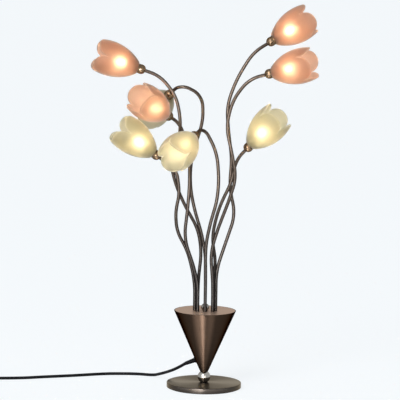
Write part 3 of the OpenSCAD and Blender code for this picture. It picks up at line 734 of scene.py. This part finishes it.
def make_plug():
    rings = [
        [
            Vector((PLUG_AT[0] + x, PLUG_AT[1] - back, PLUG_Z + z))
            for x, z in superellipse(half_x, half_z, power, count=40)
        ]
        for half_x, half_z, power, back in PLUG_SECTIONS
    ]
    body = mesh_object("plug_moulding", placed(skinned(rings)), BLACK_PLASTIC)
    wear(body, ["plug_body"])
    metal, jackets = [], []
    for side in (-PIN_SIDE, PIN_SIDE):
        root = Vector((PLUG_AT[0] + side, PLUG_AT[1] - PLUG_LEN, PLUG_Z)) * MM
        for shells, outline in ((metal, PIN_OUTLINE), (jackets, PIN_JACKET)):
            shells.append(placed(turned(outline, steps=28), along(root, (0, -1, 0))))
    pins = mesh_object("plug_pin_pair", joined(*metal), PIN_METAL)
    wear(pins, ["plug_pins"])
    sleeves = mesh_object("plug_pin_sleeves", joined(*jackets), BLACK_PLASTIC)
    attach(sleeves, LAMP)
    return [body, pins, sleeves]


# ------------------------------------------------------------------ tie of the coil

TIE_TURN = 20
TIE_Z = 5.6
TIE_INSIDE = (9.1, 5.05, 2.7)
# rings of the band: place across it, and how far they stand off its inside
TIE_RINGS = ((-3.2, 0.15), (-3, 0.5), (3, 0.5), (3.2, 0.15), (3.2, 0), (-3.2, 0))


def make_tie():
    """A soft band round the coil."""
    a = math.radians(TIE_TURN)
    out = Vector((math.cos(a), math.sin(a), 0))
    across = Vector((-math.sin(a), math.cos(a), 0))
    middle = Vector((*COIL_AT, TIE_Z)) + out * (COIL_OUTER + COIL_INNER) / 2
    rings = []
    for side, grow in TIE_RINGS:
        flat = round_box(*(size + grow for size in TIE_INSIDE), 0)
        rings.append([middle + out * p.x + across * side + Vector((0, 0, p.y)) for p in flat])
    shell = placed(skinned([*rings, rings[0]], ends=False))
    piece = mesh_object("coil_tie", shell, FELT)
    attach(piece, LAMP)
    return piece


def make_cords():
    make_cord(
        "cord_to_switch", smooth_line(LEAD), ["cord_lead"], far_end="fitting", lay="loose",
        with_pieces=[make_strain_relief(), *make_switch()],
    )
    line = smooth_line(MIDDLE) + coil_line() + smooth_line(TAIL)
    make_cord(
        "cord_to_plug", line, ["cord_middle", "cord_coil", "cord_tail"], far_end="plug",
        lay="coiled", with_pieces=[*make_plug(), make_tie()],
    )


make_cords()

# ------------------------------------------------------------------ bent tubes

PLATE_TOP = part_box("top_plate")[1].z / MM
TUBE_D = 6
TUBE_SIDES = 24
TUBE_STEP = 8
FEET_R = 19
TAIL_LEN = 12
CUP_LEN = 13
TUBE_IN_CUP = 3.4
BEND_SHARE = 0.46
BEND_STEP = 3  # degrees
# turn of the foot on its circle, height of the first bend, turn of the petals
STEMS = [
    (0, 73, 92), (-45, 53, 14), (45, 48, 188), (135, 53, 53),
    (-135, 48, 65), (180, 53, 323), (-90, 53, 55), (90, 58, 215),
]
# the middle of each further bend, above the plate, and last the glass seat
ROUTES = [
    [(34, 4, 120), (52, 10, 174), (40, 18, 222), (44, 20, 274), (37, 20, 320),
     (33, 21, 369), (50, 22, 418), (79, 20, 466), (115, 30, 488)],
    [(8, -14, 106), (21, -18, 153), (38, -24, 198), (52, -30, 245), (43, -34, 290),
     (32, -32, 336), (43, -28, 384), (72, -21, 421), (112, -36, 433)],
    [(18, 13, 86), (10, 10, 132), (21, 5, 185), (44, 1, 234), (51, -2, 274),
     (76, -13, 302)],
    [(-8, 13, 104), (-15, 10, 147), (-38, 6, 186), (-57, 0, 228), (-67, -8, 272),
     (-51, -16, 307), (-49, -23, 348), (-58, -22, 389), (-87, -20, 424),
     (-126, -24, 437)],
    [(-22, -15, 83), (-40, -18, 133), (-34, -21, 185), (-31, -21, 235), (-33, -2, 290),
     (-52, 32, 336), (-75, 10, 352)],
    [(-33, -4, 108), (-53, -8, 144), (-56, -12, 180), (-49, -14, 213), (-54, -15, 250),
     (-69, -14, 265), (-96, -18, 285)],
    [(-1, -21, 96), (0, -23, 126), (7, -25, 163), (18, -27, 201), (21, -26, 238),
     (17, -20, 288), (-8, -21, 335), (-27, -54, 318)],
    [(-1, 19, 100), (-9, 21, 139), (-22, 24, 179), (-30, 26, 217), (-31, 28, 258),
     (-22, 31, 299), (-9, 32, 340), (-11, 27, 387), (-51, 8, 408), (-73, 39, 384)],
]


def stem_corners(k):
    turn, first, _ = STEMS[k - 1]
    x, y = (FEET_R * f(math.radians(turn)) for f in (math.cos, math.sin))
    corners = [(x, y, -TAIL_LEN), (x, y, first)] + ROUTES[k - 1]
    return [Vector((a, b, c + PLATE_TOP)) for a, b, c in corners]


def seat_place(k):
    """The glass seat of cup k, with +Z along the cup's axis."""
    corners = stem_corners(k)
    return along(corners[-1] * MM, corners[-1] - corners[-2])


def bend(a, b, c):
    """Points of the arc that rounds the corner b."""
    u, w = (b - a).normalized(), (c - b).normalized()
    turn = u.angle(w)
    reach = BEND_SHARE * min((b - a).length, (c - b).length)
    r = reach / math.tan(turn / 2)
    inward = (w - u * u.dot(w)).normalized()
    middle = b - u * reach + inward * r
    count = max(2, math.ceil(math.degrees(turn) / BEND_STEP))
    angles = [turn * i / count for i in range(count + 1)]
    return [middle - inward * (r * math.cos(a)) + u * (r * math.sin(a)) for a in angles]


def filled(line, step):
    """The same line with points added where two lie further apart than step."""
    out = [line[0]]
    for a, b in zip(line, line[1:]):
        count = max(1, math.ceil((b - a).length / step))
        out += [a.lerp(b, i / count) for i in range(1, count + 1)]
    return out


def make_stem(k):
    corners = stem_corners(k)
    line = [corners[0]]
    for a, b, c in zip(corners, corners[1:], corners[2:]):
        line += bend(a, b, c)
    way = (corners[-1] - corners[-2]).normalized()
    line.append(corners[-1] - way * (CUP_LEN - TUBE_IN_CUP))
    line = filled([p * MM for p in line], TUBE_STEP * MM)
    shell = tube(line, TUBE_D / 2 * MM, TUBE_SIDES)
    piece = mesh_object(f"bent_tube_{k}", shell, TUBE_BRONZE, sharp=60)
    wear(piece, [f"stem_{k}"])


# ------------------------------------------------------------------ glass petals

GLASS_LEN = 80
GLASS_T = 3
GLASS_R = 31.5
GLASS_GAP = 0.3
HOLE_R = 6.8
BELLY = 55
# the outline is one long side arc and one small bottom arc, tangent to each other
BOTTOM_R = 6
BOTTOM_X = HOLE_R + 0.8
BULGE = GLASS_R - BOTTOM_X
SIDE_R = (BULGE**2 + (BELLY - BOTTOM_R) ** 2 - BOTTOM_R**2) / 2 / (BULGE - BOTTOM_R)
SIDE_X = GLASS_R - SIDE_R
BOTTOM_ANGLE = math.asin((BELLY - BOTTOM_R) / (SIDE_R - BOTTOM_R))
PETALS = 4
QUARTER = math.pi / 2
LOBE_R = 18.5
LOBE_STEPS = 22
LOBE_END = math.radians(44.8)  # the last column before the middle of a petal
NOTCH_W = 1
NOTCH_DEPTH = 20
NOTCH_STEPS = 3
SLOT_STEPS = 4
CREASE = 0.7
CREASE_W = 4.5
CREASE_Z = (14, 58)  # the heights where the crease starts and is whole
RIM = 1.3
RIM_STEPS = 8
RIM_BAND = 2.5
SEAT_BAND = 20
BOTTOM_STEPS = 5
ROWS = 26


def wall_r(z, inset):
    """Radius of the shade's wall at height z, moved in by inset."""
    return SIDE_X + math.sqrt((SIDE_R - inset) ** 2 - (z - BELLY) ** 2)


def crease(x, z):
    """The petals' surface sinks a little towards the notch between them."""
    start, whole = CREASE_Z
    return CREASE * eased((z - start) / (whole - start)) * math.exp(-((x / CREASE_W) ** 2))


def half_petal():
    """Edge of half a petal: (distance from the notch, height, way out of the glass)."""
    low, side_z = GLASS_LEN - NOTCH_DEPTH, GLASS_LEN - LOBE_R
    half_w = NOTCH_W / 2
    slope = math.atan2(half_w, side_z - low)
    sideways = (-math.cos(slope), math.sin(slope))
    edge = []
    for i in range(NOTCH_STEPS + 1):
        a = (QUARTER - slope) * i / NOTCH_STEPS
        edge.append((0.0, low, (-math.sin(a), math.cos(a))))
    for i in range(1, SLOT_STEPS + 1):
        t = i / SLOT_STEPS
        edge.append((half_w * t, low + (side_z - low) * t, sideways))
    for i in range(1, LOBE_STEPS + 1):
        a = QUARTER * i / LOBE_STEPS
        c, s = math.cos(a), math.sin(a)
        edge.append((half_w + LOBE_R * (1 - c), side_z + LOBE_R * s, (-c, s)))
    return edge


def petal_columns():
    """All columns round the shade: (angle, top height, way out, angle from the notch)."""
    half = []
    for x, z, out in half_petal():
        x, z = x - out[0] * RIM, z - out[1] * RIM  # set back for the rounded edge
        angle = math.asin(min(1.0, x / wall_r(z, GLASS_T / 2)))
        if angle >= LOBE_END:
            break
        half.append((angle, z, out))
    half.append((QUARTER / 2, GLASS_LEN - RIM, (0.0, 1.0)))
    columns = []
    for petal in range(PETALS):
        notch = QUARTER * (petal + 0.5)
        columns += [(notch + a, z, out, a) for a, z, out in half]
        columns += [(notch + QUARTER - a, z, (-x, y), a) for a, z, (x, y) in half[-2:0:-1]]
    return columns


def bottom_arc(r):
    """The glass beside the hole, up to where the side arc takes over."""
    step = (QUARTER - BOTTOM_ANGLE) / BOTTOM_STEPS
    angles = [i * step - QUARTER for i in range(BOTTOM_STEPS)]
    return [(BOTTOM_X + r * math.cos(a), BOTTOM_R + r * math.sin(a), 0) for a in angles]


def column_outline(top, out, from_notch):
    """One closed outline in (radius, height, sideways): up the outside, over the rounded
    edge and down the inside."""

    def creased(z, inset):
        r = wall_r(z, inset)
        return r - crease(r * math.sin(from_notch), z)

    def wall(inset):
        tangent = BOTTOM_R - (BOTTOM_R - inset) * math.sin(BOTTOM_ANGLE)
        heights = [tangent + (top - tangent) * i / ROWS for i in range(ROWS + 1)]
        return [(creased(z, inset), z, 0) for z in heights]

    slope = math.atan2(top - BELLY, SIDE_R)
    edge = []
    for i in range(1, RIM_STEPS):
        a = math.pi * i / RIM_STEPS
        r = creased(top, GLASS_T / 2 * (1 - math.cos(a)))
        rise = RIM * math.sin(a)
        edge.append((r - out[1] * rise * math.sin(slope), top + out[1] * rise, out[0] * rise))
    return [
        (HOLE_R, 0, 0), *bottom_arc(BOTTOM_R), *wall(0), *edge, *wall(GLASS_T)[::-1],
        *bottom_arc(BOTTOM_R - GLASS_T)[::-1], (HOLE_R, GLASS_T, 0),
    ]


def tulip():
    """The shell of a shade on its seat, and how far each point is rim and seat; the seat share
    carries painted shade near the cup.
    """
    points, rims, seat_painted_shade = [], [], []
    columns = petal_columns()
    for angle, top, out, from_notch in columns:
        c, s = math.cos(angle), math.sin(angle)
        for r, z, side in column_outline(top, out, from_notch):
            points.append(Vector((r * c - side * s, r * s + side * c, z + GLASS_GAP)))
            rims.append(clamped(1 - (top - z) / RIM_BAND))
            seat_painted_shade.append(clamped(1 - z / SEAT_BAND))
    faces = band(len(columns), len(points) // len(columns), closed=True)
    return (points, faces), {"rim": rims, "seat": seat_painted_shade}


TULIP, TULIP_VALUES = tulip()


def make_shade(k):
    turn = Matrix.Rotation(math.radians(STEMS[k - 1][2]), 4, "Z")
    shell = placed(TULIP, seat_place(k) @ turn)
    piece = mesh_object(
        f"glass_tulip_{k}", shell, glass_of(k), sharp=50, values=TULIP_VALUES
    )
    wear(piece, [f"shade_{k}"], f"glass_{k}")


# ------------------------------------------------------------------ bulbs

BULB_R = 4.75
BULB_TIP = 48
BULB_DOME = BULB_TIP - BULB_R
BULB_FOOT = 13.8
PINCH_TOP = 20.8
BODY_LOW = PINCH_TOP + 2.8
BODY_ROWS = 9
BODY_STEP = (BULB_DOME - BODY_LOW) / BODY_ROWS
BULB_PINS = (-2, 2)
PIN_R = 0.5
FILAMENT = 34
FILAMENT_SPREAD = 4.5
CAPSULE = [
    (AXIS_R, PINCH_TOP - 0.6), (2.6, PINCH_TOP - 0.3), (4.1, PINCH_TOP + 0.9),
    *((BULB_R, BODY_LOW + i * BODY_STEP) for i in range(BODY_ROWS + 1)),
    *arc(0, BULB_DOME, BULB_R, 12, 70, 6), (0.9, BULB_TIP - 0.35), (AXIS_R, BULB_TIP),
]
# half widths and height
PINCH = [
    (3.9, 1.5, BULB_FOOT), (4.45, 1.9, BULB_FOOT + 0.5), (4.45, 1.9, PINCH_TOP - 2.4),
    (4.3, 2.2, PINCH_TOP - 1), (3.6, 3.0, PINCH_TOP + 0.6),
]


def capsule_bulb():
    """The shell of a bulb, and how brightly each point glows."""
    glass = turned(CAPSULE, steps=28)
    pinch = skinned([
        [Vector((x, y, z)) for x, y in superellipse(half_x, half_y, power=4, count=24)]
        for half_x, half_y, z in PINCH
    ])
    pins = [
        tube([Vector((x, 0, BULB_FOOT - 8)), Vector((x, 0, BULB_FOOT + 0.3))], PIN_R, sides=10)
        for x in BULB_PINS
    ]
    shell = joined(glass, pinch, *pins)
    lit = [math.exp(-(((p.z - FILAMENT) / FILAMENT_SPREAD) ** 2)) for p in glass[0]]
    return shell, {"lit": lit + [0.0] * (len(shell[0]) - len(lit))}


BULB, BULB_VALUES = capsule_bulb()


def make_bulb(k):
    shell = placed(BULB, seat_place(k))
    piece = mesh_object(f"capsule_bulb_{k}", shell, bulb_of(k), values=BULB_VALUES)
    wear(piece, [f"bulb_{k}"])


# ------------------------------------------------------------------ cups

CUP_R = 8.75
NECK_R = 6.5
THREADS = 7
THREAD_DEPTH = 0.3
# threaded neck in the glass, beaded lip under it, round body, small collar on the tube
CUP_OUTLINE = [
    (5.7, 8), (6.1, 8),
    *((NECK_R - drop * THREAD_DEPTH, 7.6 - turn - drop / 2)
      for turn in range(THREADS) for drop in (0, 1)),
    (NECK_R - 0.2, 0.3), (NECK_R, 0), (CUP_R - 0.5, 0),
    *arc(CUP_R - 0.6, -0.7, 0.6, 80, -80, 5), (CUP_R - 0.75, -1.6), (CUP_R - 0.35, -2.1),
    *arc(0, -5.5, CUP_R, 12, -56, 14),
    (4.6, 0.5 - CUP_LEN), (4.45, -CUP_LEN), (3.2, -CUP_LEN), (3.2, -9.2), (5.65, -9),
]


def make_cup(k):
    shell = placed(turned(CUP_OUTLINE, steps=48), seat_place(k))
    piece = mesh_object(f"turned_cup_{k}", shell, CUP_METAL, sharp=32)
    wear(piece, [f"cup_{k}"])


# ------------------------------------------------------------------ foot and cone

BORE_R = 3.2
FOOT_R = 67.5
FOOT_LOW = 1.5
FOOT_TOP = 10.5
BEVEL = 1.2
FOOT_OUTLINE = [
    (10.2, FOOT_LOW), (FOOT_R - BEVEL, FOOT_LOW),
    *arc(FOOT_R - 0.6, FOOT_LOW + 0.6, 0.6, -80, 0, 5), (FOOT_R, FOOT_TOP - 1.3),
    *arc(FOOT_R - BEVEL, FOOT_TOP - BEVEL, BEVEL, 5, 40, 4),
    *arc(FOOT_R - BEVEL, FOOT_TOP - BEVEL, BEVEL, 50, 90, 4),
    *((FOOT_R * share, FOOT_TOP) for share in (0.9, 0.7, 0.5, 0.3)),
    (BORE_R, FOOT_TOP), (BORE_R, FOOT_LOW + 6.8), (10, FOOT_LOW + 6.7),
]
CONE_WALL = 1.4
CONE_FLOOR = 3
CONE_ROWS = 12
LIP_Z = CONE_Z + CONE_H
SHEET_R = CONE_LIP_R - CONE_WALL  # the inside of the sheet at the lip
# spun sheet with a small rolled lip that holds the plate
CONE_OUTLINE = [
    (BORE_R, CONE_Z), (CONE_TIP_R - 0.5, CONE_Z), (CONE_TIP_R, CONE_Z + 0.4),
    *((CONE_TIP_R + CONE_SLOPE * CONE_H * i / CONE_ROWS, CONE_Z + CONE_H * i / CONE_ROWS)
      for i in range(1, CONE_ROWS)),
    (CONE_LIP_R - 0.25, LIP_Z - 0.6), (CONE_LIP_R - 0.15, LIP_Z - 0.25),
    (CONE_LIP_R - 0.45, LIP_Z), (SHEET_R + 0.2, LIP_Z), (SHEET_R, LIP_Z - 0.2),
    (SHEET_R - 1.1, LIP_Z - 2.5),
    (SHEET_R - 4, LIP_Z - 2.5), (SHEET_R - 4.9, LIP_Z - 4.5), (SHEET_R - 3.3, LIP_Z - 7.6),
    (CONE_TIP_R + CONE_SLOPE * CONE_FLOOR - CONE_WALL, CONE_Z + CONE_FLOOR),
    (BORE_R, CONE_Z + CONE_FLOOR),
]


def make_body(name, outline, material, node):
    piece = mesh_object(name, placed(turned(outline, steps=160)), material, sharp=30)
    wear(piece, [node])


# ------------------------------------------------------------------ dressing the lamp

FINISHES = [
    (FELT, ["foot_pad"]),
    (FOOT_BRONZE, ["foot_disc"]),
    (BRONZE, ["cone_shell"]),
    (PLATE_METAL, ["top_plate"]),
    (NICKEL, ["foot_ball", "top_ball_nut", "glass_rings"]),
    (STEEL, ["tie_rod", "foot_nut", "foot_washer", "tube_nuts", "clamp_washers",
             "clamp_nuts", "terminal_bracket", "plug_pins"]),
    (WINDING, ["toroid_transformer"]),
    (CERAMIC, ["terminal_block", "lampholders"]),
    (BLACK_PVC, ["rubber_pads", "strain_relief", "cord_lead", "cord_middle", "cord_coil",
                 "cord_tail"]),
    (BLACK_PLASTIC, ["switch_lower", "switch_upper", "switch_rocker", "plug_body"]),
]
for k in SHADES:
    FINISHES += [
        (TUBE_BRONZE, [f"stem_{k}"]), (CUP_METAL, [f"cup_{k}"]),
        (bulb_of(k), [f"bulb_{k}"]), (glass_of(k), [f"shade_{k}"]),
    ]
for material, names in FINISHES:
    for name in names:
        for slot in nodes[name].material_slots:
            slot.material = material

make_body("foot_plate", FOOT_OUTLINE, FOOT_BRONZE, "foot_disc")
make_body("spun_cone", CONE_OUTLINE, BRONZE, "cone_shell")
for k in SHADES:
    make_stem(k)
    make_cup(k)
    make_bulb(k)
    make_shade(k)

# ------------------------------------------------------------------ room

BACKGROUND = (0.888, 0.922, 0.947)
WORLD_LIGHT = 0.25
FLOOR_LIFT = 0.918
FLOOR_SEEN = 0.21
FLOOR_HALF = 60


def seen_plainly(tree):
    """1 for what the camera, a mirror or clear glass sees, 0 for light on a surface."""
    path = tree.nodes.new("ShaderNodeLightPath")
    total = path.outputs["Is Camera Ray"]
    for ray in ("Is Glossy Ray", "Is Transmission Ray"):
        either = tree.nodes.new("ShaderNodeMath")
        either.operation = "MAXIMUM"
        tree.links.new(total, either.inputs[0])
        tree.links.new(path.outputs[ray], either.inputs[1])
        total = either.outputs[0]
    return total


def make_floor():
    mesh = bpy.data.meshes.new("floor")
    corners = ((-1, -1), (1, -1), (1, 1), (-1, 1))
    points = [(FLOOR_HALF * x, FLOOR_HALF * y, 0) for x, y in corners]
    mesh.from_pydata(points, [], [(0, 1, 2, 3)])
    material, tree, shader = new_material("floor")
    shader.inputs["Base Color"].default_value = (*BACKGROUND, 1)
    shader.inputs["Roughness"].default_value = 0.9
    shader.inputs["Specular IOR Level"].default_value = 0.0
    glow = add_node(
        tree, "ShaderNodeEmission", Color=(*BACKGROUND, 1), Strength=FLOOR_LIFT
    )
    shaded = [c * FLOOR_SEEN for c in BACKGROUND]
    matt = add_node(tree, "ShaderNodeBsdfDiffuse", Color=(*shaded, 1))
    both = tree.nodes.new("ShaderNodeAddShader")
    tree.links.new(matt.outputs[0], both.inputs[0])
    tree.links.new(glow.outputs[0], both.inputs[1])
    choice = mixed(tree, seen_plainly(tree), shader, both)
    tree.links.new(choice.outputs[0], tree.nodes["Material Output"].inputs["Surface"])
    add_object("floor", mesh, material)


def make_world():
    world = bpy.data.worlds.new("studio")
    world.use_nodes = True
    bpy.context.scene.world = world
    tree = world.node_tree
    light = tree.nodes["Background"]
    light.inputs["Color"].default_value = (*BACKGROUND, 1)
    level = map_range(tree, seen_plainly(tree), WORLD_LIGHT, 1.0)
    tree.links.new(level, light.inputs["Strength"])


# ------------------------------------------------------------------ lights

AIM_Z = 0.35
KEY_AZIMUTH = -28
SOFTBOX = (2.2, 50, 4, 2.5)  # side, power, distance, height
SUN_STRENGTH = 1.15
SUN_WIDTH = 30
SUN_TILT = 52
# A card is only mirrored, as a reflector that a photographer sets up for metal.
CARD_LEN = 0.9
CARD_Z = 0.46
# name, azimuth, distance, width, power
CARDS = (
    ("key_card", -9, 1.55, 0.20, 15), ("left_card", -24, 1.6, 0.75, 12),
    ("right_card", 21, 1.7, 0.75, 4),
)
# cards that lie on the floor, from near to far: name, azimuth, width, power
MIRROR_NEAR, MIRROR_FAR = 0.08, 0.70
MIRROR_Z = 0.004
MIRRORS = (
    ("key_mirror", -9, 0.04, 1.35), ("left_mirror", -26, 0.14, 0.8),
    ("right_mirror", 22, 0.10, 0.45),
)


def area_light(name, width, length, power, place, card=True):
    """place puts the light's back along +Z."""
    data = bpy.data.lights.new(name, "AREA")
    data.shape = "RECTANGLE"
    data.size, data.size_y = width, length
    data.energy = power
    lamp = add_object(name, data)
    lamp.matrix_world = place
    lamp.visible_camera = False
    lamp.visible_diffuse = lamp.visible_transmission = not card


def away_from_lamp(azimuth):
    """The level way from the lamp towards a turn from the camera's side, to the right."""
    turn = math.radians(azimuth)
    return Vector((math.sin(turn), -math.cos(turn), 0))


def facing_lamp(azimuth, away, height):
    """The place of a light that looks at the lamp, level below AIM_Z."""
    at = away_from_lamp(azimuth) * away + Vector((0, 0, height))
    back = Vector((at.x, at.y, at.z - min(at.z, AIM_Z)))
    return Matrix.Translation(at) @ back.to_track_quat("Z", "Y").to_matrix().to_4x4()


def on_floor(azimuth):
    """The place of a card that looks up, lengthwise away from the foot."""
    way = away_from_lamp(azimuth)
    down = Vector((0, 0, -1))
    axes = Matrix((way.cross(down), way, down)).transposed()
    middle = way * (MIRROR_NEAR + MIRROR_FAR) / 2 + Vector((0, 0, MIRROR_Z))
    return Matrix.Translation(middle) @ axes.to_4x4()


def make_lights():
    side, power, away, height = SOFTBOX
    place = facing_lamp(KEY_AZIMUTH, away, height)
    area_light("softbox", side, side, power, place, card=False)
    for name, azimuth, away, width, power in CARDS:
        area_light(name, width, CARD_LEN, power, facing_lamp(azimuth, away, CARD_Z))
    for name, azimuth, width, power in MIRRORS:
        area_light(name, width, MIRROR_FAR - MIRROR_NEAR, power, on_floor(azimuth))


def make_sun():
    data = bpy.data.lights.new("sun", "SUN")
    data.energy = SUN_STRENGTH
    data.angle = math.radians(SUN_WIDTH)
    lamp = add_object("sun", data)
    lamp.rotation_euler = (math.radians(SUN_TILT), 0, math.radians(KEY_AZIMUTH))


bpy.context.scene.view_settings.view_transform = "Standard"
make_floor()
make_world()
make_sun()
make_lights()
